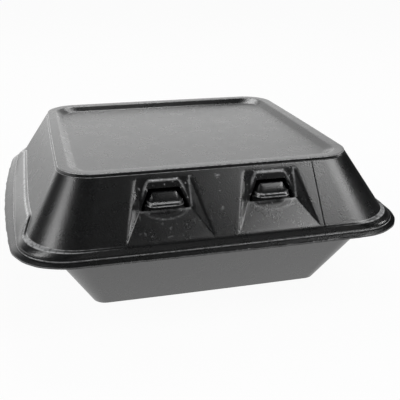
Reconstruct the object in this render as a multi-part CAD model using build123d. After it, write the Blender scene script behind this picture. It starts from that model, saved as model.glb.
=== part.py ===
from build123d import *
import os
from math import atan2, cos, hypot, sin, sqrt

# Hinged takeout container, thermoformed from one sheet of black polystyrene foam and shut.
# A square tray with sloping walls and a wide rim, a deeper lid with a raised edge on its top,
# a thin fold across the back, and two tongues on the tray's front rim.
# Each tongue ends in a hook that snaps out through a slot in a hollow of the lid's front wall.
# Millimetres, +Z up, front towards -Y. The origin is under the middle of the outer box.

# Foam
tray_sheet = 2.4
lid_sheet = 2.4
fold_sheet = 1.0
tongue_sheet = 2.0

# Rim of the tray: the container's outermost outline, with gently bowed sides
rim_width = 232.0
rim_depth = 218.4
rim_corner = 34.0
rim_bow_radius = 800.0
rim_underside = 42.1
rim_sheet = 2.2
rim_edge = 0.9
rim_strip_side = 5.4
rim_strip_front = 2.8

# Locating step inside the rim, which the lid drops over
step_height = 2.4
step_gap = 0.6

# Tray walls and floor
mouth_inset_side = 23.0
mouth_inset_front = 10.2
mouth_corner = 18.0
wall_run_side = 23.5
wall_run_front = 26.0
floor_corner = 8.0
floor_round = 3.0

# Lid, from its foot up
closing_gap = 0.25
foot_corner = 29.0
foot_bow_radius = 1350.0
skirt_rise = 4.4
skirt_run_side = 5.6
skirt_run_front = 1.2
crease_corner = 29.8
ledge_rise = 0.9
ledge_side = 2.0
ledge_front = 0.5
lid_wall_rise = 30.1
lid_run_side = 18.1
lid_run_front = 23.1
shoulder_corner = 20.2
band_rise = 1.7
band_run = 0.8

# Raised edge round the lid's top, and the sunk panel inside it
ridge_width = 6.0
ridge_slope = 4.5
ridge_drop = 3.1

# Fold along the back
fold_reach = 10.2
fold_length = 150.0
fold_lap = 2.6

# Latches: the hollow in the lid's front wall, with heights above the foot of that wall
latch_offset = 30.0
hollow_top_width = 28.6
hollow_foot_width = 46.6
hollow_valley_width = 28.4
hollow_top = 28.2
hollow_valley = 12.4
hollow_foot = 0.8
hollow_depth = 4.0
slot_foot_width = 27.4
slot_head_width = 16.8
slot_height = 11.0

# Latches: the tongue and its hook
tongue_width = 24.0
tongue_gap = 0.9
tongue_foot_gap = 0.3
tongue_inset = 1.5
hook_foot_width = 20.0
hook_head_width = 14.6
hook_height = 7.2
hook_reach = 6.3
hook_lip = 1.6
hook_bulge = 1.1
hook_rest_gap = 2.9
hook_wall = 1.8

# The curve of a side that looks straight
flat = 6000.0

# Places that follow from the sizes above
middle_y = -fold_reach / 2
rim_top = rim_underside + rim_sheet
step_top = rim_top + step_height
foot_z = rim_top + closing_gap
crease_z = foot_z + skirt_rise
wall_foot_z = crease_z + ledge_rise
shoulder_z = wall_foot_z + lid_wall_rise
top_z = shoulder_z + band_rise
panel_z = top_z - ridge_drop

foot_width = rim_width - 2 * rim_strip_side
foot_depth = rim_depth - 2 * rim_strip_front
crease_width = foot_width - 2 * skirt_run_side
crease_depth = foot_depth - 2 * skirt_run_front
wall_width = crease_width - 2 * ledge_side
wall_depth = crease_depth - 2 * ledge_front
shoulder_width = wall_width - 2 * lid_run_side
shoulder_depth = wall_depth - 2 * lid_run_front
top_width = shoulder_width - 2 * band_run
top_depth = shoulder_depth - 2 * band_run
top_corner = shoulder_corner - band_run
mouth_width = rim_width - 2 * mouth_inset_side
mouth_depth = rim_depth - 2 * mouth_inset_front
floor_width = mouth_width - 2 * wall_run_side
floor_depth = mouth_depth - 2 * wall_run_front

fold_back_y = middle_y + rim_depth / 2 + fold_reach
fold_lap_y = middle_y + rim_depth / 2 + fold_lap
fold_top_z = foot_z + fold_sheet
fold_radius = (fold_top_z - rim_underside) / 2
fold_axis = (fold_back_y - fold_radius, rim_underside + fold_radius)

tray_across_side = tray_sheet * hypot(wall_run_side, rim_underside) / rim_underside
tray_across_front = tray_sheet * hypot(wall_run_front, rim_underside) / rim_underside
skirt_across_side = lid_sheet * hypot(skirt_run_side, skirt_rise) / skirt_rise
skirt_across_front = lid_sheet * hypot(skirt_run_front, skirt_rise) / skirt_rise
lid_across_side = lid_sheet * hypot(lid_run_side, lid_wall_rise) / lid_wall_rise
lid_across_front = lid_sheet * hypot(lid_run_front, lid_wall_rise) / lid_wall_rise

valley_z = wall_foot_z + hollow_valley
tongue_radius = tongue_sheet / 2
tongue_axis = (
    middle_y - mouth_depth / 2 + tray_across_front + tongue_radius - tongue_inset,
    step_top + tongue_foot_gap + tongue_radius,
)


def ring(width, depth, corner, z, side_radius=flat, front_radius=flat):
    """A level outline: four slightly bowed sides and the four corner arcs that touch them."""
    side_centre, front_centre = width / 2 - side_radius, depth / 2 - front_radius
    apart = hypot(side_centre, front_centre)
    to_side, to_front = side_radius - corner, front_radius - corner
    along = (to_side**2 - to_front**2 + apart**2) / (2 * apart)
    off = sqrt(to_side**2 - along**2)
    unit_x, unit_y = -side_centre / apart, front_centre / apart
    corner_x = side_centre + along * unit_x - off * unit_y
    corner_y = along * unit_y + off * unit_x
    side_angle = atan2(corner_y, corner_x - side_centre)
    front_angle = atan2(corner_y - front_centre, corner_x)

    def on_corner(angle):
        return corner_x + corner * cos(angle), corner_y + corner * sin(angle)

    side_end = on_corner(side_angle)
    bend = on_corner((side_angle + front_angle) / 2)
    front_end = on_corner(front_angle)
    side_middle, front_middle = (width / 2, 0), (0, depth / 2)
    arcs = [
        ((side_end, 1, -1), (side_middle, 1, 1), (side_end, 1, 1)),
        ((side_end, 1, 1), (bend, 1, 1), (front_end, 1, 1)),
        ((front_end, 1, 1), (front_middle, 1, 1), (front_end, -1, 1)),
        ((front_end, -1, 1), (bend, -1, 1), (side_end, -1, 1)),
        ((side_end, -1, 1), (side_middle, -1, 1), (side_end, -1, -1)),
        ((side_end, -1, -1), (bend, -1, -1), (front_end, -1, -1)),
        ((front_end, -1, -1), (front_middle, 1, -1), (front_end, 1, -1)),
        ((front_end, 1, -1), (bend, 1, -1), (side_end, 1, -1)),
    ]
    placed = [[(sx * p[0], middle_y + sy * p[1], z) for p, sx, sy in arc] for arc in arcs]
    return Wire([ThreePointArc(*points) for points in placed])


def stack(rings):
    """A solid that runs straight from each outline to the next."""
    return Solid.make_loft(rings, ruled=True)


def prism_x(edges, start, length):
    """A solid with one outline in the Y-Z plane, carried along X."""
    return Pos(start, 0, 0) * extrude(make_face(edges), amount=length, dir=(1, 0, 0))


def prism_y(points, start, length):
    """A solid with one outline in the X-Z plane, carried along Y."""
    outline = Polyline(*[(x, start, z) for x, z in points], close=True)
    return extrude(make_face(outline), amount=length, dir=(0, 1, 0))


def tray():
    """The lower half: floor, sloping walls, and the rim with its locating step."""
    lean_side, lean_front = wall_run_side / rim_underside, wall_run_front / rim_underside
    bowl = stack(
        [
            ring(floor_width - floor_round, floor_depth - floor_round, floor_corner, 0),
            ring(
                floor_width + 2 * floor_round * lean_side,
                floor_depth + 2 * floor_round * lean_front,
                floor_corner,
                floor_round,
            ),
            ring(mouth_width, mouth_depth, mouth_corner, rim_underside),
        ]
    )
    rim = stack(
        [
            ring(rim_width, rim_depth, rim_corner, rim_underside, rim_bow_radius),
            ring(rim_width, rim_depth, rim_corner, rim_underside + rim_edge, rim_bow_radius),
            ring(foot_width, foot_depth, foot_corner, rim_top, foot_bow_radius),
        ]
    )
    step_width = foot_width - 2 * (skirt_across_side + step_gap)
    step_depth = foot_depth - 2 * (skirt_across_front + step_gap)
    step_corner = foot_corner - lid_sheet
    step = stack(
        [
            ring(step_width, step_depth, step_corner, rim_underside + rim_edge, foot_bow_radius),
            ring(step_width, step_depth, step_corner, rim_top, foot_bow_radius),
            ring(
                step_width - 2 * skirt_run_side * step_height / skirt_rise,
                step_depth - 2 * skirt_run_front * step_height / skirt_rise,
                step_corner,
                step_top,
                foot_bow_radius,
            ),
        ]
    )
    inner_width = mouth_width - 2 * tray_across_side
    inner_depth = mouth_depth - 2 * tray_across_front
    hollow = stack(
        [
            ring(
                inner_width - 2 * lean_side * (rim_underside - tray_sheet),
                inner_depth - 2 * lean_front * (rim_underside - tray_sheet),
                floor_corner,
                tray_sheet,
            ),
            ring(inner_width, inner_depth, mouth_corner, rim_underside),
            ring(inner_width, inner_depth, mouth_corner, step_top + tray_sheet),
        ]
    )
    lap_depth = fold_lap + rim_strip_front
    lap = Pos(0, fold_lap_y - lap_depth / 2, rim_underside + fold_sheet / 2) * Box(
        fold_length, lap_depth, fold_sheet
    )
    return bowl + rim + step + lap - hollow


def front_wall_y(z):
    """Where the outside of the lid's front wall is at a height."""
    return middle_y - wall_depth / 2 + lid_run_front * (z - wall_foot_z) / lid_wall_rise


def latch_hollow(middle_x, shift, front):
    """The hollow round a latch as a solid block, moved back by shift and reaching front before the wall."""
    high, low = wall_foot_z + hollow_top, wall_foot_z + hollow_foot
    valley_y = front_wall_y(valley_z) + hollow_depth + shift

    def corner(width, z, side, out=0.0):
        return (middle_x + side * width / 2, front_wall_y(z) + shift - out, z)

    top = [corner(hollow_top_width, high, side) for side in (-1, 1)]
    foot = [corner(hollow_foot_width, low, side) for side in (-1, 1)]
    top_out = [corner(hollow_top_width, high, side, front) for side in (-1, 1)]
    foot_out = [corner(hollow_foot_width, low, side, front) for side in (-1, 1)]
    valley = [(middle_x + side * hollow_valley_width / 2, valley_y, valley_z) for side in (-1, 1)]
    faces = [
        (top[0], top[1], valley[1], valley[0]),
        (foot[0], valley[0], valley[1], foot[1]),
        (top[0], valley[0], foot[0]),
        (top[1], foot[1], valley[1]),
        (top[0], foot[0], foot_out[0], top_out[0]),
        (top[1], top_out[1], foot_out[1], foot[1]),
        (top[0], top_out[0], top_out[1], top[1]),
        (foot[0], foot[1], foot_out[1], foot_out[0]),
        (top_out[0], foot_out[0], foot_out[1], top_out[1]),
    ]
    return Solid(Shell([Face(Wire.make_polygon(face, close=True)) for face in faces]))


def latch_slot(middle_x):
    """The opening in the hollow that a hook comes out through."""
    foot, head = slot_foot_width / 2, slot_head_width / 2
    outline = [
        (middle_x - foot, valley_z),
        (middle_x + foot, valley_z),
        (middle_x + head, valley_z + slot_height),
        (middle_x - head, valley_z + slot_height),
    ]
    length = 2 * (hollow_depth + lid_across_front)
    return prism_y(outline, front_wall_y(valley_z), length)


def lid():
    """The upper half: skirt, ledge, sloping walls, raised edge and the sunk panel."""
    outside = stack(
        [
            ring(foot_width, foot_depth, foot_corner, foot_z, foot_bow_radius),
            ring(crease_width, crease_depth, crease_corner, crease_z),
            ring(wall_width, wall_depth, crease_corner, wall_foot_z),
            ring(shoulder_width, shoulder_depth, shoulder_corner, shoulder_z),
            ring(top_width, top_depth, top_corner, top_z),
        ]
    )

    def within(z, corner):
        up = (z - wall_foot_z) / lid_wall_rise
        width = wall_width - 2 * lid_run_side * up - 2 * lid_across_side
        depth = wall_depth - 2 * lid_run_front * up - 2 * lid_across_front
        return ring(width, depth, corner, z)

    crease_inside = crease_z - lid_sheet / 2
    skirt_foot = ring(
        foot_width - 2 * skirt_across_side,
        foot_depth - 2 * skirt_across_front,
        foot_corner - lid_sheet,
        foot_z,
        foot_bow_radius,
    )
    hollow = stack(
        [
            skirt_foot,
            within(crease_inside, crease_corner - lid_sheet),
            within(top_z - lid_sheet, top_corner - lid_sheet),
        ]
    )
    lean = ridge_slope / ridge_drop
    rise = hypot(ridge_slope, ridge_drop) / ridge_drop * lid_sheet
    brim_width, brim_depth = top_width - 2 * ridge_width, top_depth - 2 * ridge_width

    def panel(z, grow):
        inward = 2 * lean * (top_z - z) - 2 * grow
        return ring(brim_width - inward, brim_depth - inward, top_corner - ridge_width, z)

    sunk = stack([panel(panel_z, 0), panel(top_z + lid_sheet, 0)])
    boss = stack([panel(panel_z - lid_sheet, rise), panel(top_z - lid_sheet / 2, rise)])
    lap_depth = fold_lap_y - (middle_y + foot_depth / 2 - skirt_across_front)
    lap = Pos(0, fold_lap_y - lap_depth / 2, foot_z + fold_sheet / 2) * Box(
        fold_length, lap_depth, fold_sheet
    )
    shell = outside - (hollow - boss) - sunk + lap
    for side in (-1, 1):
        shell += latch_hollow(side * latch_offset, lid_across_front, lid_sheet / 2)
    for side in (-1, 1):
        shell -= latch_hollow(side * latch_offset, 0, hollow_depth)
        shell -= latch_slot(side * latch_offset)
    return shell


def latch(middle_x):
    """A tongue from the tray's front rim, with the hook that stands out through the lid's slot."""
    axis_y, axis_z = tongue_axis
    neck_y = front_wall_y(valley_z) + hollow_depth + lid_across_front + tongue_gap
    back_y = neck_y + tongue_sheet * 1.25
    hook_z = valley_z + hook_rest_gap
    head_z = hook_z + hook_height
    lip_y = neck_y - hook_reach
    lip_top = (lip_y - hook_lip / 4, hook_z + hook_lip)
    head = (neck_y, head_z)
    slope = atan2(head[1] - lip_top[1], head[0] - lip_top[0])
    crown = (
        (lip_top[0] + head[0]) / 2 - hook_bulge * sin(slope),
        (lip_top[1] + head[1]) / 2 + hook_bulge * cos(slope),
    )

    def at(y, z):
        return (0, y, z)

    side_view = [
        ThreePointArc(
            at(axis_y - tongue_radius, axis_z),
            at(axis_y, axis_z - tongue_radius),
            at(axis_y + tongue_radius, axis_z),
        ),
        Polyline(at(axis_y + tongue_radius, axis_z), at(back_y, valley_z), at(back_y, head_z), at(*head)),
        ThreePointArc(at(*head), at(*crown), at(*lip_top)),
        Polyline(
            at(*lip_top),
            at(lip_y, hook_z),
            at(neck_y, hook_z),
            at(neck_y, valley_z),
            at(axis_y - tongue_radius, axis_z),
        ),
    ]
    blank = prism_x(side_view, middle_x - tongue_width / 2, tongue_width)
    half, foot, top = tongue_width / 2, hook_foot_width / 2, hook_head_width / 2
    shoulder = valley_z - tongue_gap
    front_view = [
        (-half, axis_z - tongue_radius),
        (half, axis_z - tongue_radius),
        (half, shoulder),
        (foot, valley_z),
        (foot, hook_z + hook_lip),
        (top, head_z),
        (-top, head_z),
        (-foot, hook_z + hook_lip),
        (-foot, valley_z),
        (-half, shoulder),
    ]
    outline = [(middle_x + x, z) for x, z in front_view]
    before = lip_top[0] - hook_lip
    trimmed = blank & prism_y(outline, before, back_y - before + tongue_sheet)
    scoop = Polyline(
        at(lip_y + 2 * hook_wall, hook_z + hook_wall),
        at(back_y + hook_wall, hook_z + hook_wall),
        at(back_y + hook_wall, head_z - hook_wall),
        at(neck_y, head_z - hook_wall),
        close=True,
    )
    scoop_width = hook_head_width - 2 * hook_wall
    return trimmed - prism_x([scoop], middle_x - scoop_width / 2, scoop_width)


def fold_strip():
    """The thin crushed strip that wraps round the back and lets the lid swing."""
    axis_y, axis_z = fold_axis
    inner = fold_radius - fold_sheet

    def at(y, z):
        return (0, y, z)

    section = [
        Line(at(fold_lap_y, rim_underside), at(axis_y, rim_underside)),
        ThreePointArc(at(axis_y, rim_underside), at(fold_back_y, axis_z), at(axis_y, fold_top_z)),
        Polyline(
            at(axis_y, fold_top_z), at(fold_lap_y, fold_top_z), at(fold_lap_y, foot_z), at(axis_y, foot_z)
        ),
        ThreePointArc(
            at(axis_y, axis_z + inner), at(axis_y + inner, axis_z), at(axis_y, axis_z - inner)
        ),
        Polyline(
            at(axis_y, axis_z - inner),
            at(fold_lap_y, axis_z - inner),
            at(fold_lap_y, rim_underside),
        ),
    ]
    return prism_x(section, -fold_length / 2, fold_length)


part_nodes = {
    "base_tray": tray(),
    "lid": lid(),
    "latch_left": latch(-latch_offset),
    "latch_right": latch(latch_offset),
    "fold_strip": fold_strip(),
}

os.makedirs("parts", exist_ok=True)
for name, shape in part_nodes.items():
    export_step(shape, f"parts/{name}.step")
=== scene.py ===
import math
import bmesh
import bpy
import numpy as np
from mathutils import Matrix, Vector


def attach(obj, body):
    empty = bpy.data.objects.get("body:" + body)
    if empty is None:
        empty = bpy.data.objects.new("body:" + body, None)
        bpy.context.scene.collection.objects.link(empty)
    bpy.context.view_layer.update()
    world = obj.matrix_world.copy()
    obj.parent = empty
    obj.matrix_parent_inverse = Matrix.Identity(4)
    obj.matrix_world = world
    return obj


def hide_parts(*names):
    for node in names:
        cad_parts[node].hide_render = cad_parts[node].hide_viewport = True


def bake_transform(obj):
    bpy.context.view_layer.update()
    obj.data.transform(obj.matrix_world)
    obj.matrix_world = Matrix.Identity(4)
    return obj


# Black foam takeout container, shut, on a pale floor.
# Every sheet is a grid of rows and columns with an outer and an inner face. The rows are level
# outlines stacked from the rim to the middle, and the columns run across them.
# Shapes are worked out in millimetres and written to the meshes in metres.

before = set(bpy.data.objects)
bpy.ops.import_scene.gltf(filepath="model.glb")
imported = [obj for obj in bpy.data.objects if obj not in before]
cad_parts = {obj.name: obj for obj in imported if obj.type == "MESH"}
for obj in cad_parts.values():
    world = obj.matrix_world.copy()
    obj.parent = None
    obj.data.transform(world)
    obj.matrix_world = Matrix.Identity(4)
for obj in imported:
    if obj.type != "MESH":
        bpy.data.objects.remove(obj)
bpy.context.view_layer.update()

# A millimetre in metres
MM = 0.001

# Sizes shared with the solids, in millimetres
middle_y = -5.1
lid_sheet = 2.4
tray_sheet = 2.4
latch_offset = 30.0

# The bow radius of a side that is as good as straight
straight = 6000.0

# Heights on the tray, the last one on the step that the lid drops over
rim_underside, rim_top, step_top = 42.1, 44.3, 46.7
# How thick the rim's cut edge is, and half the rim's width
rim_edge, rim_half = 0.9, 116.0

# Heights on the lid, from its foot up to the top of its raised edge, and its sunk panel
foot_z, crease_z, wall_foot_z = 44.55, 48.95, 49.85
shoulder_z, top_z, panel_z = 79.95, 81.65, 78.55

# The outline of the lid's wall at its foot, and how much less each size is at the shoulder
wall_width, wall_depth, wall_corner = 206.0, 209.4, 29.8
width_lost, depth_lost, corner_lost = 36.2, 46.2, 9.6
# How far the wall leans in for each millimetre up, at the sides and at the front
side_lean = 0.601
front_lean = depth_lost / 2 / (shoulder_z - wall_foot_z)
# The front lies nearer than this, and the sides lie farther out than this
front_zone_y, side_zone_x = middle_y - 50, 60.0

# The hollow round each latch, and its slot
hollow_top_z, valley_z, hollow_foot_z = 78.05, 62.25, 50.65
hollow_top_half, valley_half, hollow_foot_half = 14.3, 14.2, 23.3
hollow_depth = 4.8
slot_head_z = 73.25
slot_foot_half, slot_head_half = 13.7, 8.4

# The raised hood round each slot: its height, where its edge is drawn in and how soft it is, where it
# sinks into the hollow, and its outline
hood_height, hood_edge_in, hood_edge_soft = 1.35, 0.15, 0.07
hood_foot_z, hood_foot_soft, hood_top_z = 67.65, 1.1, 76.9
hood_outline_z = (60.0, 63.0, 68.8, 72.5, 75.6, 76.9)
hood_outline_half = (13.6, 13.6, 12.2, 10.8, 9.0, 7.4)

# The mark that a hook pressed below each slot: half an ellipse, drawn as a shallow groove
mark_half, mark_drop, mark_line, mark_deep = 11.0, 3.7, 0.06, 0.12

# A hard crease down the front, to the right of the latches
crease_x, crease_half, crease_deep = 56.0, 0.35, 0.3

# How far the ledge climbs along each side, and how much more at its front end
ledge_rise, ledge_front_rise = 3.5, 2.0
# Along the side from its middle: where the ledge climbs and drops again, and where it climbs more
ledge_ends = (-74.5, -65.0, 66.0, 78.0)
ledge_front_ends = (-60.0, -20.0)
# The heights that the climb fades over, below the ledge and above it
ledge_heights = (foot_z + 1.2, crease_z, wall_foot_z, 66.0)


# Meshes

def make_sheet(name, outside, inside, around, pole=False, keep=None, painted_highlight=None, scuffed=None):
    """A closed sheet: the two faces are grids, and each open edge of the kept cells is bridged. The
    columns may close around, and the last row may be one point, a pole. Two shares go with the
    outside: how strong the painted highlights on its pressed edges are, and how scuffed it is."""
    rows, columns = outside.shape[:2]
    across = columns if around else columns - 1
    cells = np.ones((rows - 1, across), bool) if keep is None else keep
    index = np.arange(rows * columns).reshape(rows, columns)
    if around:
        index = np.hstack([index, index[:, :1]])
    low_left, low_right = index[:-1, :-1], index[:-1, 1:]
    up_left, up_right = index[1:, :-1], index[1:, 1:]
    count = rows * columns
    front = np.stack([low_left, low_right, up_right, up_left], -1)[cells]
    faces = [front, front[:, ::-1] + count]
    padded = np.pad(cells, 1)
    if around:
        padded[1:-1, 0], padded[1:-1, -1] = cells[:, -1], cells[:, 0]
    if pole:
        padded[-1, 1:-1] = True
    sides = [
        (padded[:-2, 1:-1], low_right, low_left),
        (padded[2:, 1:-1], up_left, up_right),
        (padded[1:-1, :-2], low_left, up_left),
        (padded[1:-1, 2:], up_right, low_right),
    ]
    for neighbour, start, end in sides:
        open_edge = cells & ~neighbour
        starts, ends = start[open_edge], end[open_edge]
        faces.append(np.stack([starts, ends, ends + count, starts + count], -1))
    points = np.vstack([outside.reshape(-1, 3), inside.reshape(-1, 3)]) * MM
    shares = {"painted_highlight": np.zeros(2 * count), "scuffed": np.zeros(2 * count)}
    for key, share in (("painted_highlight", painted_highlight), ("scuffed", scuffed)):
        if share is not None:
            shares[key][:count] = share.ravel()
    return make_mesh(name, points, np.vstack(faces), shares)


def make_mesh(name, points, faces, shares):
    """A mesh object from points in metres and four-sided faces. Points that no face uses are left
    out, the faces are turned outwards, and the points of a pole are merged."""
    merge_within = 1e-7
    sharp_from = math.radians(48)
    used, faces = np.unique(faces, return_inverse=True)
    points, faces = points[used], faces.reshape(-1, 4)
    corners = [points[faces[:, k]] for k in range(4)]
    halves = [np.cross(corners[1], corners[2]), np.cross(corners[2], corners[3])]
    volume = sum(np.einsum("ij,ij->", corners[0], half) for half in halves)
    if volume < 0:
        faces = faces[:, ::-1]
    mesh = bpy.data.meshes.new(name)
    mesh.from_pydata(points.tolist(), [], faces.tolist())
    for key, share in shares.items():
        mesh.attributes.new(key, "FLOAT", "POINT").data.foreach_set("value", share[used])
    work = bmesh.new()
    work.from_mesh(mesh)
    bmesh.ops.remove_doubles(work, verts=work.verts, dist=merge_within)
    work.to_mesh(mesh)
    work.free()
    mesh.polygons.foreach_set("use_smooth", np.ones(len(mesh.polygons), bool))
    mesh.set_sharp_from_angle(angle=sharp_from)
    piece = bpy.data.objects.new(name, mesh)
    bpy.context.scene.collection.objects.link(piece)
    return piece


# How strong the painted highlight is on the rows of a rounding, as shares of its station's
ROUNDING_HIGHLIGHTS = np.array([0.7, 1.0, 0.7, 0.0])


def rounded_rows(table):
    """Rows through the stations of a table, straight between them. A station has the six sizes of an
    outline, the steps that lead to it, its cut and the strength of its painted highlight. It is
    rounded by the parabola that leaves one run and joins the next that far from it, and the rows of
    the parabola get the painted highlight."""
    table = np.array(table, float)
    stations, steps, cuts, painted_highlight = table[:, :6], table[:, 6].astype(int), table[:, 7], table[:, 8]
    gaps = np.diff(stations, axis=0)
    lengths = np.hypot(np.hypot(gaps[:, 0], gaps[:, 1]) / 2, gaps[:, 3])
    runs = gaps / lengths[:, None]
    rows, highlight_shares, last = [stations[:1]], [painted_highlight[:1]], stations[0]
    for k in range(1, len(stations)):
        here, cut = stations[k], cuts[k]
        entry = here - runs[k - 1] * cut
        t = np.linspace(0, 1, steps[k] + 1)[1:, None]
        rows.append(last + (entry - last) * t)
        highlight_shares.append(np.zeros(steps[k]))
        last = entry
        if cut and k < len(stations) - 1:
            leave = here + runs[k] * cut
            t = np.linspace(0, 1, len(ROUNDING_HIGHLIGHTS) + 1)[1:, None]
            rows.append(entry * (1 - t) ** 2 + here * 2 * t * (1 - t) + leave * t**2)
            highlight_shares.append(painted_highlight[k] * ROUNDING_HIGHLIGHTS)
            last = leave
    return np.vstack(rows), np.hstack(highlight_shares)


def spread(marks, counts):
    """Columns between marks that change from row to row, with a count of steps in each gap."""
    parts = [marks[0]]
    for low, high, count in zip(marks[:-1], marks[1:], counts):
        t = np.linspace(0, 1, count + 1)[1:]
        parts.append(low + (high - low) * t)
    return np.hstack(parts)


# Steps along each stretch of an outline, and from its last row to the middle
SIDE_STEPS, CORNER_STEPS, BACK_STEPS, MIDDLE_STEPS = 60, 14, 40, 4
# Steps along half the front, in the gaps between the marks of front_columns
FRONT_STEPS = (8, 6, 4, 3, 3, 30, 3, 3, 4, 6, 4, 8, 8)
FRONT_COUNT = 2 * sum(FRONT_STEPS) + 1
FRONT_FIRST = 2 * (SIDE_STEPS + 1) + 3 * (CORNER_STEPS - 1) + BACK_STEPS + 1
FRONT_SLICE = slice(FRONT_FIRST, FRONT_FIRST + FRONT_COUNT)
SLOT_START = sum(FRONT_STEPS[:5])
SLOT_END = sum(FRONT_STEPS[:6])


def hood_half(z):
    """Half the width of a hood at a height."""
    return np.interp(z, hood_outline_z, hood_outline_half)


def front_columns(z, end):
    """Where each column of the front crosses a row, from the middle out: the edges of a hollow, of its
    sides, its hood and its slot, each a line in z, then the hard crease, then out to the corner. Below
    the valley the inner ones spread with the hollow, and a row that is too narrow shrinks them all."""
    edge_gap, fold_gap, hood_step, slot_gap = 1.2, 0.3, 0.3, 0.5
    foot_spread, full_end = 6.5, 64.0
    below = (hollow_foot_z, valley_z)
    edge = np.interp(z, (hollow_foot_z, hollow_top_z), (hollow_foot_half, hollow_top_half))
    fold = np.minimum(np.interp(z, below, (hollow_foot_half, valley_half)), edge - edge_gap)
    wider = np.interp(z, below, (foot_spread, 0))
    hood = np.minimum(hood_half(z) + wider, fold - fold_gap)
    slot = np.interp(z, (valley_z, slot_head_z), (slot_foot_half, slot_head_half))
    slot = np.minimum(slot + wider, hood - slot_gap)
    hood_foot = hood - hood_step
    halves = [-edge, -fold, -hood, -hood_foot, -slot, slot, hood_foot, hood, fold, edge]
    marks = [0 * z] + [latch_offset + half for half in halves]
    marks += [crease_x - 2 * crease_half + 0 * z, crease_x + 2 * crease_half + 0 * z]
    narrow = np.minimum(1, end / full_end)
    half = spread([mark * narrow for mark in marks] + [end], FRONT_STEPS)
    return np.hstack([-half[:, :0:-1], half])


def outlines(rows):
    """Level outlines: four bowed sides and the corner arcs that touch them, anticlockwise from the
    front end of the right side. A row is width, depth, corner, height and the two bow radii. The
    centre of a corner is where two circles cross, one round the centre of each bow, whose radii are
    the bow's less the corner's."""
    width, depth, corner, z, side_radius, front_radius = (rows[:, k : k + 1] for k in range(6))
    side_centre, front_centre = width / 2 - side_radius, depth / 2 - front_radius
    apart = np.hypot(side_centre, front_centre)
    to_side, to_front = side_radius - corner, front_radius - corner
    along = (to_side**2 - to_front**2 + apart**2) / (2 * apart)
    off = np.sqrt(to_side**2 - along**2)
    unit_x, unit_y = -side_centre / apart, front_centre / apart
    corner_x = side_centre + along * unit_x - off * unit_y
    corner_y = along * unit_y + off * unit_x
    side_angle = np.arctan2(corner_y, corner_x - side_centre)
    front_angle = np.arctan2(corner_y - front_centre, corner_x)

    side = side_angle * np.linspace(-1, 1, SIDE_STEPS + 1)
    side_x, side_y = side_centre + side_radius * np.cos(side), side_radius * np.sin(side)
    turn = side_angle + (front_angle - side_angle) * np.linspace(0, 1, CORNER_STEPS + 1)[1:-1]
    turn_x, turn_y = corner_x + corner * np.cos(turn), corner_y + corner * np.sin(turn)
    back_turn_x, back_turn_y = turn_x[:, ::-1], turn_y[:, ::-1]
    front_x = front_columns(z, corner_x + corner * np.cos(front_angle))
    front_y = front_centre + np.sqrt(front_radius**2 - front_x**2)
    back_x = front_x[:, -1:] * np.linspace(1, -1, BACK_STEPS + 1)
    back_y = front_centre + np.sqrt(front_radius**2 - back_x**2)
    x = np.hstack([side_x, turn_x, back_x, -back_turn_x, -side_x, -turn_x, front_x, back_turn_x])
    y = np.hstack([side_y, turn_y, back_y, back_turn_y, -side_y, -turn_y, -front_y, -back_turn_y])
    return np.stack([x, y + middle_y, z + 0 * x], -1)


def sheet_face(table):
    """One face of a sheet: the rows of a table of stations, the points of their outlines, and how
    strong the painted highlight on each row of points is. More rows of points, inside the last outline
    and level with it, shrink evenly to one point."""
    rows, highlight_shares = rounded_rows(table)
    points = outlines(rows)
    share = np.linspace(1, 0, MIDDLE_STEPS + 1)[1:, None, None]
    centre = np.array([0, middle_y, rows[-1, 3]])
    inside = centre + (points[-1] - centre) * share
    return rows, np.concatenate([points, inside]), np.concatenate([highlight_shares, np.zeros(MIDDLE_STEPS)])


def blur(grid):
    """Each point averaged with its neighbours in the rows beside it, at twice their weight, ten times,
    with the first and last row kept, and then in the same way with its neighbours along the row, which
    closes on itself, six times."""
    soft = grid.copy()
    for _ in range(10):
        soft[1:-1] = (soft[:-2] + 2 * soft[1:-1] + soft[2:]) / 4
    for _ in range(6):
        soft = (np.roll(soft, 1, 1) + 2 * soft + np.roll(soft, -1, 1)) / 4
    return soft


def unit(vectors):
    """The same directions with a length of one."""
    return vectors / np.maximum(np.linalg.norm(vectors, axis=-1, keepdims=True), 1e-9)


def normals(grid):
    """Unit normals of a grid whose columns close on themselves, square to its rows and columns."""
    along_rows = np.gradient(grid, axis=0)
    along_columns = (np.roll(grid, -1, 1) - np.roll(grid, 1, 1)) / 2
    return unit(np.cross(along_columns, along_rows))


# Lid

def near(value, place, width):
    """1 where a value is at a place, falling off as a bell of that width."""
    return np.exp(-(((value - place) / width) ** 2))


def soft_step(value, soft):
    """A logistic step: 0 well below zero, 1 well above it, and as steep as its softness is small."""
    return 1 / (1 + np.exp(-value / soft))


def hollow_cut(x, z):
    """How far the front wall is pressed in: the least of three slopes, from the hollow's top, its foot
    and its sides down to the valley. The least is minus the logarithm of a sum of exponentials, which
    rounds the folds between them, and the hollow's edges are rounded in the same way."""
    fold_soft, edge_soft = 0.12, 0.1
    out = np.abs(np.abs(x) - latch_offset)
    top = hollow_depth * (hollow_top_z - z) / (hollow_top_z - valley_z)
    foot = hollow_depth * (z - hollow_foot_z) / (valley_z - hollow_foot_z)
    lean = (hollow_foot_half - hollow_top_half) / (hollow_top_z - hollow_foot_z)
    edge = hollow_foot_half - lean * (z - hollow_foot_z)
    edge_at_valley = hollow_foot_half - lean * (valley_z - hollow_foot_z)
    side = hollow_depth * (edge - out) / (edge_at_valley - valley_half)
    least = -fold_soft * np.log(sum(np.exp(-slope / fold_soft) for slope in (top, foot, side)))
    return edge_soft * np.logaddexp(0, least / edge_soft)


def hood_raise(x, z):
    """The raised hood round the top and sides of each slot: a flat band inside its outline, with a
    steep step at its edge, which sinks into the hollow towards the foot of the slot."""
    out = np.abs(np.abs(x) - latch_offset)
    within = np.minimum(hood_half(z) - hood_edge_in - out, hood_top_z - z)
    return hood_height * soft_step(within, hood_edge_soft) * soft_step(z - hood_foot_z, hood_foot_soft)


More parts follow.
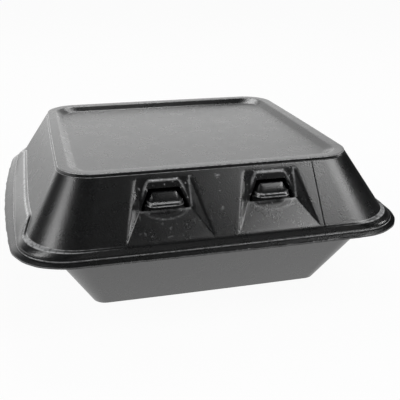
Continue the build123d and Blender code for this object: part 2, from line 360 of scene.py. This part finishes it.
def press_mark(x, z):
    """How near a point is to the curved mark below each slot: 1 on half an ellipse, and falling off
    beside it."""
    off = np.hypot((np.abs(x) - latch_offset) / mark_half, (z - valley_z) / mark_drop) - 1
    return near(off, 0, mark_line) * (z < valley_z)


def crease_cut(x):
    """The hard crease: a groove with the outline of a cosine."""
    off = np.clip((x - crease_x) / crease_half, -1, 1)
    return crease_deep * (1 + np.cos(np.pi * off)) / 2


def raise_ledge(rows, outer):
    """The ledge climbs along each side: it runs high between the corners, highest at its front end,
    where its height grows as a square, and drops to them in a short straight slope. It keeps its width
    and follows the wall's plane, and the skirt and the wall beside it make up the difference."""
    y = outer[..., 1] - middle_y
    rise = ledge_rise + ledge_front_rise * np.interp(y, ledge_front_ends, (1, 0)) ** 2
    lift = rise * np.interp(y, ledge_ends, (0, 1, 1, 0))
    lift *= np.interp(rows[:, 3:4], ledge_heights, (0, 1, 1, 0))
    lift *= np.abs(outer[..., 0]) > side_zone_x
    outer[..., 2] += lift
    outer[..., 0] -= np.sign(outer[..., 0]) * lift * side_lean


def on_wall(z):
    """The outline of the lid's sloping wall at a height."""
    up = (z - wall_foot_z) / (shoulder_z - wall_foot_z)
    width, depth = wall_width - width_lost * up, wall_depth - depth_lost * up
    return (width, depth, wall_corner - corner_lost * up, z, straight, straight)


def edge_highlights(outer, highlight_shares):
    """How strong the painted highlights on the lid's pressed edges are, standing in for the gloss that
    catches the light. The foot's is weaker at the front, the ledge's shows only towards the corners,
    and the shoulder's is strongest on the left, where the light comes from. The ledge's front corners
    have painted crescents of highlight."""
    x, y, z = (outer[..., k] for k in range(3))
    at_front = y < front_zone_y
    at_foot = z < foot_z + 1.5
    at_ledge = (z > foot_z + 1.5) & (z < wall_foot_z + 0.6)
    at_shoulder = np.abs(z - shoulder_z) < 0.4
    towards_corners = np.interp(np.abs(x), (50, 90), (0, 1)) ** 1.5
    towards_left = np.clip(0.85 - x / 90, 0.25, 1)
    painted_highlight = highlight_shares[:, None] * np.where(at_ledge, towards_corners, 1)
    painted_highlight *= np.where(at_front & at_shoulder, towards_left, 1)
    painted_highlight *= np.where(at_front & at_foot, 0.65, 1)
    on_ledge = (z > crease_z - 0.3) & (z < wall_foot_z + 0.3)
    far_out = np.interp(np.abs(x), (82, 96), (0, 1))
    far_forward = np.interp(y, (middle_y - 81, middle_y - 77), (1, 0))
    return np.maximum(painted_highlight, 0.7 * far_out * far_forward * on_ledge)


def round_latches(outer):
    """How strong the painted highlights are and how scuffed the lid's front is round the latches. The
    edges of the hoods, the right fold of each hollow, the foot of its slot and the press mark get
    painted highlights. The foam is scuffed round the slot and inside the mark, less below them, and
    hardly at all elsewhere on the front."""
    x, y, z = (outer[..., k] for k in range(3))
    z = np.where(y < front_zone_y, z, 0)
    side = x - np.sign(x) * latch_offset
    out = np.abs(side)
    hood_top = near(z, hood_top_z, 0.3) * (out < hood_half(hood_top_z))
    hood_side = near(out, hood_half(z), 0.35) * np.interp(z, (68, 73), (0, 1)) * (z < hood_top_z)
    fold = near(side, valley_half, 0.4) * ((z > valley_z) & (z < hollow_top_z))
    slot_foot = near(z, valley_z - 0.2, 0.45) * (out < slot_foot_half)
    mark = press_mark(x, z)
    painted_highlight = [0.85 * hood_top, 0.5 * hood_side, 0.6 * fold, 0.45 * slot_foot, 0.22 * mark]
    round_slot = (out < valley_half) & (z > valley_z - 0.5) & (z < hollow_top_z)
    in_mark = np.hypot(out / (mark_half + 0.5), (z - valley_z) / (mark_drop + 0.2)) < 1
    in_mark = in_mark & (z < valley_z)
    below = (out < hollow_foot_half) & (z < valley_z) & (z > hollow_foot_z)
    scuffed = [0.85 * round_slot, 1.0 * in_mark, 0.3 * below, 0.04 * (z > 0)]
    return np.maximum.reduce(painted_highlight), np.maximum.reduce(scuffed)


def build_lid():
    """Skirt, crease, ledge, sloping wall, raised edge and sunk panel, with the hollows pressed in. The
    inner face is set off square to a blurred copy of the outer one, so fine relief stays outside."""
    # Each station: the six sizes of an outline, its steps, its cut and the strength of its painted
    # highlight
    table = [
        (221.2, 212.8, 29.0, foot_z, 1350, straight, 0, 0, 0.6),
        (221.2, 212.8, 29.0, foot_z + 0.6, 1350, straight, 1, 0.4, 1.0),
        (219.2, 211.2, 28.4, foot_z + 1.0, 1350, straight, 1, 0.2, 0),
        (210.0, 210.4, 29.8, crease_z, straight, straight, 5, 0.75, 1.0),
        (*on_wall(wall_foot_z), 2, 0.45, 0.8),
        (*on_wall(hollow_foot_z), 2, 0, 0),
        (*on_wall(valley_z), 22, 0, 0),
        (*on_wall(slot_head_z), 16, 0, 0),
        (*on_wall(hood_top_z - 0.3), 6, 0, 0),
        (*on_wall(hood_top_z + 0.3), 4, 0, 0),
        (*on_wall(hollow_top_z), 3, 0, 0),
        (169.9, 163.3, 20.2, shoulder_z - 0.05, straight, straight, 3, 0.22, 0.9),
        (168.7, 162.1, 19.6, shoulder_z + 0.2, straight, straight, 1, 0.12, 0),
        (168.2, 161.6, 19.4, top_z, straight, straight, 2, 0.5, 0.9),
        (156.2, 149.6, 13.4, top_z - 0.15, straight, straight, 4, 0.8, 0.1),
        (147.2, 140.6, 13.4, panel_z, straight, straight, 4, 1.1, 0),
        (140.0, 133.4, 13.0, panel_z - 0.05, straight, straight, 4, 0, 0),
    ]
    rows, outer, highlight_shares = sheet_face(table)
    painted_highlight, scuffed = round_latches(outer)
    painted_highlight = np.maximum(painted_highlight, edge_highlights(outer, highlight_shares))
    raise_ledge(rows, outer[: len(rows)])
    front = outer[: len(rows), FRONT_SLICE]
    x, z = front[..., 0], front[..., 2]
    on_front = z < shoulder_z - 0.3
    front[..., 1] += np.where(on_front, hollow_cut(x, z), 0)

    soft = blur(outer)
    direction = unit(blur(normals(soft)))
    inner = soft - direction * lid_sheet
    # At the foot the inner face comes out level, for a flat and wider underside
    level = np.array([1.0, 1.0, 0.0])
    foot_rows, foot_wide = 10, 3.4
    for k in range(foot_rows):
        share = k / foot_rows
        sideways = unit(direction[k] * level)
        inner[k] = inner[k] * share + (outer[k] - sideways * foot_wide) * (1 - share)
        inner[k, :, 2] = np.maximum(inner[k, :, 2], foot_z)
    # Inside the last outline it lies straight below the outer face
    inner[len(rows) :] = outer[len(rows) :] - np.array([0, 0, lid_sheet])
    detail = crease_cut(x) - hood_raise(x, z) - mark_deep * press_mark(x, z)
    front[..., 1] += np.where(on_front, detail, 0)

    # The slots are cells left out
    keep = np.ones((outer.shape[0] - 1, outer.shape[1]), bool)
    heights = rows[:, 3]
    first = int(np.argmin(np.abs(heights - valley_z)))
    last = int(np.argmin(np.abs(heights - slot_head_z)))
    middle = FRONT_FIRST + FRONT_COUNT // 2
    keep[first:last, middle + SLOT_START : middle + SLOT_END] = False
    keep[first:last, middle - SLOT_END : middle - SLOT_START] = False
    return make_sheet(
        "lid_shell", outer, inner, around=True, pole=True, keep=keep, painted_highlight=painted_highlight, scuffed=scuffed
    )


# Tray

def build_tray():
    """Floor, sloping walls and the rim with its locating step: the upper face and the under face. The
    rim's cut edge is ragged: it is drawn in by a sum of sines that go a whole number of times round."""
    # Each station: the six sizes of an outline, its steps, its cut and the strength of its painted
    # highlight
    upper = [
        (232.0, 218.4, 34.0, rim_underside + rim_edge, 800, straight, 0, 0, 0.15),
        (228.6, 216.8, 32.6, rim_underside + rim_edge + 0.25, 900, straight, 3, 0.3, 0),
        (221.6, 213.2, 29.2, rim_top, 1350, straight, 4, 0.4, 0),
        (211.7, 206.0, 27.0, rim_top, 1350, straight, 4, 0.12, 0),
        (211.2, 205.6, 27.0, rim_top + 0.3, 1350, straight, 1, 0.15, 0),
        (205.6, 204.2, 26.6, step_top, 1350, straight, 3, 0.8, 0.6),
        (181.0, 192.4, 18.0, step_top, straight, straight, 6, 1.2, 0.4),
        (180.6, 192.2, 18.0, rim_underside, straight, straight, 4, 1.0, 0),
        (136.0, 142.6, 8.0, tray_sheet, straight, straight, 12, 0, 0),
    ]
    under = [
        (232.0, 218.4, 34.0, rim_underside, 800, straight, 0, 0, 0),
        (229.0, 217.0, 32.6, rim_underside, 900, straight, 3, 0.3, 0),
        (224.0, 213.0, 30.0, rim_underside, 1350, straight, 4, 0.4, 0),
        (212.0, 208.0, 27.0, rim_underside, 1350, straight, 4, 0.12, 0),
        (208.0, 206.0, 26.0, rim_underside, 1350, straight, 1, 0.15, 0),
        (200.0, 203.0, 24.0, rim_underside, 2000, straight, 3, 0.8, 0),
        (190.0, 200.0, 20.0, rim_underside, straight, straight, 6, 1.2, 0),
        (186.0, 198.0, 18.0, rim_underside, straight, straight, 4, 1.0, 0),
        (139.0, 146.0, 8.0, 0.0, straight, straight, 12, 0, 0),
    ]
    _, top, highlight_shares = sheet_face(upper)
    _, bottom, _ = sheet_face(under)
    around = np.linspace(0, 2 * math.pi, top.shape[1], endpoint=False)
    # How much of the raggedness the first three rows have
    row_shares = np.array([1.0, 0.8, 0.4])[:, None, None]
    for waves, size in ((41, 0.08), (67, 0.07), (97, 0.06), (131, 0.05)):
        ragged = size * (1.1 + np.sin(waves * around + waves)) / rim_half
        for face in (top, bottom):
            face[:3, :, :2] *= 1 - ragged[:, None] * row_shares
    # The rounded rows of the rim's upper face get painted highlights
    painted_highlight = highlight_shares[:, None] * np.ones(top.shape[:2])
    return make_sheet("tray_shell", top, bottom, around=True, pole=True, painted_highlight=painted_highlight)


# Latches

# The tongue's foot and its sheet there, and its neck, which stands behind the wall's outer face
tongue_foot_y, tongue_foot_z, tongue_sheet = -101.779, 47.0, 2.0
neck_behind, neck_sheet = 7.93, 2.2
neck_y = middle_y - wall_depth / 2 + front_lean * (valley_z - wall_foot_z) + neck_behind
# The hook, and half the widths of the straight part of its lip, of its corners and of its head
hook_z, hook_height, hook_reach, hook_lip = 64.9, 6.2, 6.3, 2.2
lip_half, corner_half, head_half = 6.4, 10.4, 6.5


def build_latch(name, middle_x):
    """A tongue and its hook. The front face runs up the tongue, out under the hook, up its grooved lip
    and back up a hollow slope, whose height is a power of the way back. The corners of the hook's plan
    are cut slantwise, more and more up its lip. The back face is a flat sheet behind it."""
    head_z = hook_z + hook_height
    # Along the face: height, how far out, half width, how deep the lip's groove is, and the strength of
    # the painted highlight
    face = np.array([
        (tongue_foot_z, 0.0, 12.0, 0, 0),
        (valley_z - 0.9, 0.0, 12.0, 0, 0),
        (valley_z, 0.0, 10.6, 0, 0),
        (hook_z - 0.1, 0.0, 10.6, 0, 0),
        (hook_z, 0.5, 10.2, 0, 0),
        (hook_z, hook_reach - 0.25, 9.9, 0, 0.3),
        (hook_z + 0.15, hook_reach, 9.9, 0, 0.8),
        (hook_z + 0.45, hook_reach, 9.8, 0, 0.8),
        (hook_z + 0.75, hook_reach, 9.8, 0.7, 0),
        (hook_z + hook_lip - 0.8, hook_reach - 0.1, 9.7, 0.7, 0),
        (hook_z + hook_lip - 0.5, hook_reach - 0.15, 9.6, 0, 0.5),
        (hook_z + hook_lip - 0.15, hook_reach - 0.3, 9.6, 0, 0.8),
        (hook_z + hook_lip + 0.1, hook_reach - 0.7, 9.5, 0, 0.5),
    ])
    steps = (10, 3, 4, 2, 8, 2, 2, 2, 3, 2, 2, 2)
    t = np.concatenate([[0]] + [k + np.linspace(0, 1, n + 1)[1:] for k, n in enumerate(steps)])
    z, reach, half, groove, painted_highlight = (np.interp(t, np.arange(len(face)), face[:, k]) for k in range(5))
    # The slope from the top of the lip back to the head
    back = np.linspace(0, 1, 25)[1:]
    lip_z, lip_reach, lip_top_half = face[-1, :3]
    z = np.concatenate([z, lip_z + (head_z - lip_z) * back**1.5])
    reach = np.concatenate([reach, lip_reach * (1 - back)])
    half = np.concatenate([half, lip_top_half + (head_half - lip_top_half) * back])
    groove = np.concatenate([groove, 0 * back])
    painted_highlight = np.concatenate([painted_highlight, 0 * back])

    across = np.linspace(-1, 1, 65)
    x = half[:, None] * across
    corner_share = np.interp(z, (hook_z, hook_z + hook_lip), (0.92, 0.42))[:, None]
    plan = 1 - (1 - corner_share) * np.interp(np.abs(x), (lip_half, corner_half), (0, 1))
    # The hook's ends are rounded as the root of one less an eighth power
    crown = np.where((z >= hook_z)[:, None], np.sqrt(1 - (across * 0.97) ** 8), 1)
    grooved = np.interp(np.abs(x), (lip_half - 1.4, lip_half - 0.6), (1, 0))
    out = reach[:, None] * plan * crown - groove[:, None] * grooved
    rise = (tongue_foot_z, valley_z)
    front_y = np.interp(z, rise, (tongue_foot_y - tongue_sheet / 2, neck_y))[:, None] - out
    outside = np.stack([middle_x + x, front_y, z[:, None] + 0 * x], -1)
    back_z = np.interp(np.linspace(0, 1, len(z)), (0, 0.25, 1), (tongue_foot_z, valley_z, head_z))
    back_y = np.interp(back_z, rise, (tongue_foot_y + tongue_sheet / 2, neck_y + neck_sheet))
    inside = np.stack([middle_x + x, back_y[:, None] + 0 * x, back_z[:, None] + 0 * x], -1)
    # The lip's painted highlight lines are fainter at its corners
    painted_highlight = painted_highlight[:, None] * np.where(np.abs(x) < lip_half + 1.0, 1, 0.35)
    return make_sheet(name, outside, inside, around=False, painted_highlight=painted_highlight)


# Fold

# The hinge line, the strip's outer radius, its sheet, where its legs end, half its width and its ribs
fold_axis_y, fold_axis_z = 112.575, 43.825
fold_radius, fold_sheet, fold_leg_y, fold_half = 1.725, 1.0, 99.5, 75.0
rib_count, rib_deep = 11, 0.16


def build_fold():
    """The strip round the back: a leg out of the rim, half a turn about the hinge line, and a leg into
    the lid's foot. Crushing leaves fine ribs along the turn: its radius dips as a cosine, eleven
    times round it."""
    turn = np.linspace(-math.pi / 2, math.pi / 2, 133)
    leg = np.linspace(fold_leg_y, fold_axis_y, 9)[:-1]
    x = np.linspace(-fold_half, fold_half, 101)
    faces = []
    for radius, deep in ((fold_radius, rib_deep), (fold_radius - fold_sheet, 0.0)):
        ribbed = radius - deep * (1 - np.cos(2 * rib_count * (turn + math.pi / 2))) / 2
        y = np.concatenate([leg, fold_axis_y + ribbed * np.cos(turn), leg[::-1]])
        z = np.concatenate([0 * leg - radius, ribbed * np.sin(turn), 0 * leg + radius]) + fold_axis_z
        faces.append(np.stack(np.broadcast_arrays(x, y[:, None], z[:, None]), -1))
    return make_sheet("fold_shell", *faces, around=False)


# Materials

# Settings of nodes that are used more than once, and the sockets of a mix of two colours
TIMES, LARGER = {"operation": "MULTIPLY"}, {"operation": "MAXIMUM"}
SMOOTH = {"interpolation_type": "SMOOTHSTEP"}
COLOURS = {"data_type": "RGBA"}
FIRST_COLOUR, SECOND_COLOUR, MIXED_COLOUR = 6, 7, 2


def linear(hex_colour):
    """An sRGB hex colour as linear red, green, blue and alpha."""
    parts = [int(hex_colour[k : k + 2], 16) / 255 for k in (1, 3, 5)]
    return tuple(c / 12.92 if c <= 0.04045 else ((c + 0.055) / 1.055) ** 2.4 for c in parts) + (1.0,)


def add(tree, kind, settings=None, links=None):
    """A node with its settings, and its inputs set to values or linked to other nodes' outputs."""
    node = tree.nodes.new(kind)
    for key, value in (settings or {}).items():
        setattr(node, key, value)
    for key, value in (links or {}).items():
        if isinstance(value, bpy.types.NodeSocket):
            tree.links.new(value, node.inputs[key])
        else:
            node.inputs[key].default_value = value
    return node


def new_material(name):
    """A material and its node tree, still empty."""
    material = bpy.data.materials.new(name)
    material.use_nodes = True
    material.node_tree.nodes.clear()
    return material, material.node_tree


def foam_material(name, cell, crushed):
    """Polystyrene foam sheet, coloured black in the mass and thermoformed: a dark satin skin over
    closed cells, which pebble its gloss. The real cells are about 0.4 mm wide, too fine to show, so
    they are drawn coarser. Pressed edges get painted highlights, light grey broken lines that stand in
    for the gloss catching the light, and scuffed foam has light grey nicks and small dents. Where it is
    crushed, the skin is duller and more uneven."""
    material, tree = new_material(name)
    place = add(tree, "ShaderNodeTexCoord").outputs["Object"]
    # The strength of the painted highlights, worked out for each point
    painted_highlight = add(tree, "ShaderNodeAttribute", {"attribute_name": "painted_highlight"}).outputs["Fac"]
    scuffed = add(tree, "ShaderNodeAttribute", {"attribute_name": "scuffed"}).outputs["Fac"]

    # Three noises, by their width in millimetres and their detail: the specks of the skin, the slow
    # drift of its gloss, and the nicks
    speck, drift, nicks = (
        add(tree, "ShaderNodeTexNoise", None, {
            "Vector": place,
            "Scale": 1 / (width * MM),
            "Detail": detail,
        }).outputs["Fac"]
        for width, detail in ((0.6, 1.0), (9, 3.0), (1.9, 3.0))
    )

    # The relief of the cells, with dents where the foam is scuffed
    cells = add(tree, "ShaderNodeTexVoronoi", {"feature": "F1"}, {
        "Vector": place,
        "Scale": 1 / (cell * MM),
    }).outputs["Distance"]
    dents = add(tree, "ShaderNodeMath", TIMES, {0: nicks, 1: scuffed}).outputs[0]
    grain = add(tree, "ShaderNodeMath", {"operation": "MULTIPLY_ADD"}, {0: dents, 1: 0.3, 2: cells})
    bump = add(tree, "ShaderNodeBump", None, {
        "Height": grain.outputs[0],
        "Strength": 0.4,
        "Distance": 0.1 * MM,
    })
    rough = add(tree, "ShaderNodeMapRange", None, {
        "Value": drift,
        "From Min": 0.3,
        "From Max": 0.7,
        "To Min": 0.265 + crushed,
        "To Max": 0.295 + crushed,
    })

    # The speckled skin
    speckled = add(tree, "ShaderNodeMapRange", None, {
        "Value": speck,
        "From Min": 0.35,
        "From Max": 0.65,
    })
    skin = add(tree, "ShaderNodeMix", COLOURS, {
        "Factor": speckled.outputs["Result"],
        FIRST_COLOUR: linear("#040505"),
        SECOND_COLOUR: linear("#202122"),
    })

    # Painted highlights, broken light grey lines along pressed edges, and light grey nicks where the
    # foam is scuffed
    broken = add(tree, "ShaderNodeMapRange", None, {
        "Value": nicks,
        "From Min": 0.38,
        "From Max": 0.52,
        "To Min": 0.4,
    }).outputs["Result"]
    line = add(tree, "ShaderNodeMath", TIMES, {0: painted_highlight, 1: broken}).outputs[0]
    nick = add(tree, "ShaderNodeMapRange", None, {
        "Value": nicks,
        "From Min": 0.63,
        "From Max": 0.68,
        "To Max": 0.5,
    }).outputs["Result"]
    nick = add(tree, "ShaderNodeMath", TIMES, {0: nick, 1: scuffed}).outputs[0]
    highlight_and_nick = add(tree, "ShaderNodeMath", LARGER, {0: line, 1: nick}).outputs[0]
    # Light grey: painted highlights along the edges, and the real colour of the nicks
    colour = add(tree, "ShaderNodeMix", COLOURS, {
        "Factor": highlight_and_nick,
        FIRST_COLOUR: skin.outputs[MIXED_COLOUR],
        SECOND_COLOUR: linear("#d2d3d4"),
    })

    shader = add(tree, "ShaderNodeBsdfPrincipled", None, {
        "Base Color": colour.outputs[MIXED_COLOUR],
        "Roughness": rough.outputs["Result"],
        "IOR": 1.59,
        "Specular IOR Level": 1.0,
        "Normal": bump.outputs["Normal"],
    })
    add(tree, "ShaderNodeOutputMaterial", None, {"Surface": shader.outputs["BSDF"]})
    return material


# Stage

def seen_directly(tree):
    """1 for camera, glossy and transmission rays, which see the white background, and 0 for others."""
    path = add(tree, "ShaderNodeLightPath").outputs
    seen = path["Is Camera Ray"]
    for kind in ("Is Glossy Ray", "Is Transmission Ray"):
        seen = add(tree, "ShaderNodeMath", LARGER, {0: seen, 1: path[kind]}).outputs[0]
    return seen


def build_floor():
    """A wide level floor of white paper, which shows white with a faint shadow. In the foam's gloss it
    is bright close to the container and behind it, and dark away from its front and its right."""
    size = 3.0
    corners = [(-size, -size, 0), (size, -size, 0), (size, size, 0), (-size, size, 0)]
    mesh = bpy.data.meshes.new("floor")
    mesh.from_pydata(corners, [], [(0, 1, 2, 3)])
    floor = bpy.data.objects.new("floor", mesh)
    bpy.context.scene.collection.objects.link(floor)
    material, tree = new_material("white_paper")
    lit = add(tree, "ShaderNodeBsdfDiffuse", None, {"Color": linear("#f2f2f2")})
    dim = add(tree, "ShaderNodeBsdfDiffuse", None, {"Color": linear("#404040")})
    glow = add(tree, "ShaderNodeEmission", None, {"Color": linear("#ffffff"), "Strength": 0.95})
    shown = add(tree, "ShaderNodeAddShader", None, {0: dim.outputs[0], 1: glow.outputs[0]})

    # What glossy rays see, by the place in metres where they meet the paper
    place = add(tree, "ShaderNodeTexCoord").outputs["Object"]
    at = add(tree, "ShaderNodeSeparateXYZ", None, {"Vector": place}).outputs
    forward = add(tree, "ShaderNodeMath", TIMES, {0: at["Y"], 1: -1.0}).outputs[0]
    away = add(tree, "ShaderNodeMath", LARGER, {0: forward, 1: at["X"]}).outputs[0]
    close_by = add(tree, "ShaderNodeMapRange", SMOOTH, {
        "Value": away,
        "From Min": 0.14,
        "From Max": 0.27,
        "To Min": 1.0,
        "To Max": 0.06,
    }).outputs["Result"]
    behind = add(tree, "ShaderNodeMapRange", SMOOTH, {
        "Value": at["Y"],
        "From Min": 0.15,
        "From Max": 0.5,
        "To Min": 0.88,
        "To Max": 0.55,
    }).outputs["Result"]
    far_behind = add(tree, "ShaderNodeMapRange", SMOOTH, {
        "Value": at["Y"],
        "From Min": 0.35,
        "From Max": 1.0,
        "To Min": 0.0,
        "To Max": 1.25,
    }).outputs["Result"]
    level = add(tree, "ShaderNodeMath", LARGER, {0: behind, 1: far_behind}).outputs[0]
    level = add(tree, "ShaderNodeMath", TIMES, {0: close_by, 1: level}).outputs[0]
    mirrored = add(tree, "ShaderNodeEmission", None, {"Color": linear("#ffffff"), "Strength": level})

    glossy = add(tree, "ShaderNodeLightPath").outputs["Is Glossy Ray"]
    direct = add(tree, "ShaderNodeMixShader", None, {
        0: glossy,
        1: shown.outputs[0],
        2: mirrored.outputs[0],
    })
    both = add(tree, "ShaderNodeMixShader", None, {
        0: seen_directly(tree),
        1: lit.outputs[0],
        2: direct.outputs[0],
    })
    add(tree, "ShaderNodeOutputMaterial", None, {"Surface": both.outputs[0]})
    mesh.materials.append(material)


def build_world():
    """A dim room whose far wall is the white backdrop, brightest near the floor and ending on the
    right. Only the foam's gloss shows the wall: the camera sees white everywhere, and other rays see
    an even dim light."""
    world = bpy.data.worlds.new("studio")
    bpy.context.scene.world = world
    world.use_nodes = True
    tree = world.node_tree
    tree.nodes.clear()
    path = add(tree, "ShaderNodeLightPath").outputs
    place = add(tree, "ShaderNodeTexCoord").outputs["Generated"]
    towards = add(tree, "ShaderNodeSeparateXYZ", None, {"Vector": place}).outputs
    paper = add(tree, "ShaderNodeMapRange", None, {
        "Value": towards["Z"],
        "From Max": 0.35,
        "To Min": 2.0,
        "To Max": 1.0,
    }).outputs["Result"]
    wall = add(tree, "ShaderNodeMapRange", SMOOTH, {
        "Value": towards["Y"],
        "From Min": 0.66,
        "From Max": 0.88,
        "To Min": 0.03,
        "To Max": paper,
    }).outputs["Result"]
    right_end = add(tree, "ShaderNodeMapRange", SMOOTH, {
        "Value": towards["X"],
        "From Min": 0.46,
        "From Max": 0.62,
        "To Min": 1.0,
        "To Max": 0.05,
    }).outputs["Result"]
    wall = add(tree, "ShaderNodeMath", TIMES, {0: wall, 1: right_end}).outputs[0]
    room = add(tree, "ShaderNodeMix", None, {
        "Factor": path["Is Glossy Ray"],
        "A": 0.25,
        "B": wall,
    }).outputs[0]
    level = add(tree, "ShaderNodeMix", None, {
        "Factor": path["Is Camera Ray"],
        "A": room,
        "B": 1.0,
    }).outputs[0]
    light = add(tree, "ShaderNodeBackground", None, {"Color": linear("#ffffff"), "Strength": level})
    add(tree, "ShaderNodeOutputWorld", None, {"Surface": light.outputs[0]})


# Each soft light, in metres and watts: its place, its two widths and its power
softboxes = {
    "overhead": ((0.05, 0.75, 1.05), (0.6, 0.35), 3.1),
    "left": ((-1.1, -0.16, 0.68), (0.42, 0.90), 3.3),
    "right": ((0.76, -0.485, 0.985), (0.72, 0.72), 4.6),
    "low_right": ((1.18, -0.12, 0.12), (0.26, 0.16), 1.1),
}
light_target = (0, 0, 0.05)


def add_softbox(name, place, size, power):
    """An oval soft light at a place, facing the container."""
    data = bpy.data.lights.new(name, "AREA")
    data.shape = "ELLIPSE"
    data.size, data.size_y = size
    data.energy = power
    lamp = bpy.data.objects.new(name, data)
    bpy.context.scene.collection.objects.link(lamp)
    direction = Vector(light_target) - Vector(place)
    facing = direction.to_track_quat("-Z", "Y").to_matrix().to_4x4()
    lamp.matrix_world = Matrix.Translation(place) @ facing


# The camera fitted to the outlines in the photograph: its place in metres, its focal length and the
# width of its sensor in millimetres, and how many degrees it is turned right, tipped down and rolled
camera_place = (-0.09303, -0.40600, 0.19241)
camera_focal, camera_sensor = 58.052, 36.0
camera_heading, camera_tip, camera_roll = 14.751, 21.5, 0.379


def build_camera():
    """The camera, rolled, tipped and turned from looking straight down."""
    data = bpy.data.cameras.new("camera")
    data.sensor_width = camera_sensor
    data.lens = camera_focal
    data.clip_start = 0.01
    camera = bpy.data.objects.new("camera", data)
    heading = Matrix.Rotation(-math.radians(camera_heading), 4, "Z")
    tip = Matrix.Rotation(math.radians(90 - camera_tip), 4, "X")
    roll = Matrix.Rotation(math.radians(camera_roll), 4, "Z")
    camera.matrix_world = Matrix.Translation(camera_place) @ heading @ tip @ roll
    bpy.context.scene.collection.objects.link(camera)
    bpy.context.scene.camera = camera


foam = foam_material("black_polystyrene_foam", 0.75, 0.0)
crushed_foam = foam_material("crushed_polystyrene_foam", 1.4, 0.12)

lid_shell = build_lid()
lid_shell.data.materials.append(foam)
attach(lid_shell, "lid")
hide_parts("lid")

tray_shell = build_tray()
tray_shell.data.materials.append(foam)
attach(tray_shell, "tray")
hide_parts("base_tray")

for side, node, body in ((-1, "latch_left", "tongue_left"), (1, "latch_right", "tongue_right")):
    tongue = build_latch(f"{node}_tongue", side * latch_offset)
    tongue.data.materials.append(foam)
    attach(tongue, body)
    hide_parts(node)

fold_shell = build_fold()
fold_shell.data.materials.append(crushed_foam)
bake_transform(fold_shell)
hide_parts("fold_strip")

build_floor()
build_world()
for name, (place, size, power) in softboxes.items():
    add_softbox(name, place, size, power)
build_camera()

scene = bpy.context.scene
scene.view_settings.view_transform = "Standard"
